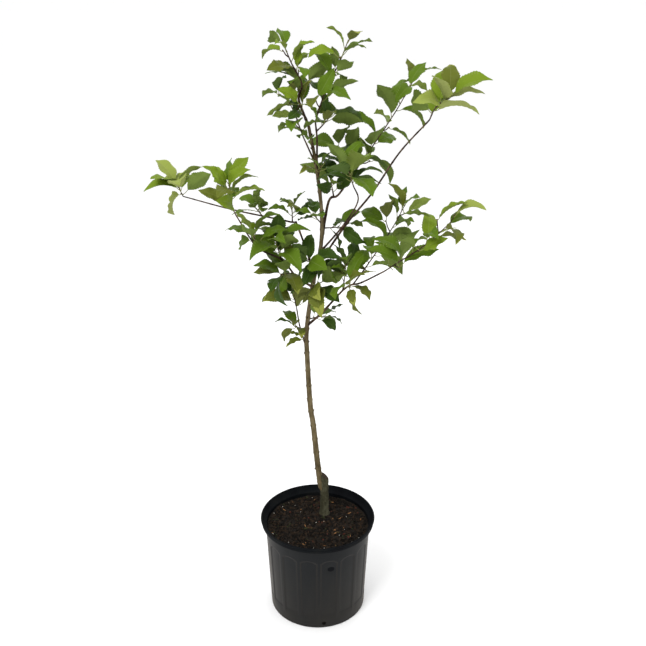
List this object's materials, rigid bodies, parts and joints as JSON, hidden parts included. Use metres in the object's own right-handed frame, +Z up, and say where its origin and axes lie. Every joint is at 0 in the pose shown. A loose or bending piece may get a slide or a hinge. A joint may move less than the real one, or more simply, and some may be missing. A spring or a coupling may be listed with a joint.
{
  "type": "potted apple tree",
  "caption": "Young grafted apple tree with a slender leaning trunk, spreading leafy boughs and a cut rootstock stub, in a round black nursery pot filled with bark mix.",
  "frame": {"origin": "centre of the pot's flat underside, on the surface it stands on", "axes": "+Z up, -Y to the front as pictured, +X to the right"},
  "size_m": [0.7217, 0.4115, 1.3832],
  "materials": {
    "black_plastic": "black moulded nursery pot, satin, dusty on the sides",
    "bark_mix": "damp dark bark chips and grit",
    "bark": "grey-brown young bark with buds, red-brown on the shoots",
    "leaf": "mid-green leaves, paler and matt beneath"
  },
  "bodies": {
    "root": {"pot": "black_plastic", "soil": "bark_mix", "trunk": "bark", "bough_upright": "bark", "bough_middle_right": "bark", "bough_long_right": "bark", "bough_long_left": "bark", "bough_low_left": "bark", "bough_short_left": "bark", "bough_low_right": "bark", "bough_top_right": "bark", "bough_top_left": "bark", "leaves_leader": "leaf", "leaves_top_right": "leaf", "leaves_top_inner": "leaf", "leaves_top_left": "leaf", "leaves_trunk_top": "leaf", "leaves_trunk_high": "leaf", "leaves_trunk_middle": "leaf", "leaves_upright_left": "leaf", "leaves_upright_inner": "leaf", "leaves_upright_top": "leaf", "leaves_long_right": "leaf", "leaves_middle_right": "leaf", "leaves_fork": "leaf", "leaves_left_bend": "leaf", "leaves_left_middle": "leaf", "leaves_left_tip": "leaf", "leaves_low_left_tip": "leaf", "leaves_low_left_side": "leaf", "leaves_low_left_top": "leaf", "leaves_low_left_under": "leaf", "leaves_short_left_tip": "leaf", "leaves_short_left_side": "leaf", "leaves_trunk_low": "leaf", "leaves_trunk_right": "leaf", "leaves_trunk_left": "leaf", "leaves_trunk_front": "leaf", "leaves_low_right_under": "leaf", "leaves_right_centre": "leaf", "leaves_low_right_tip": "leaf", "leaves_right": "leaf"}
  },
  "joints": []
}
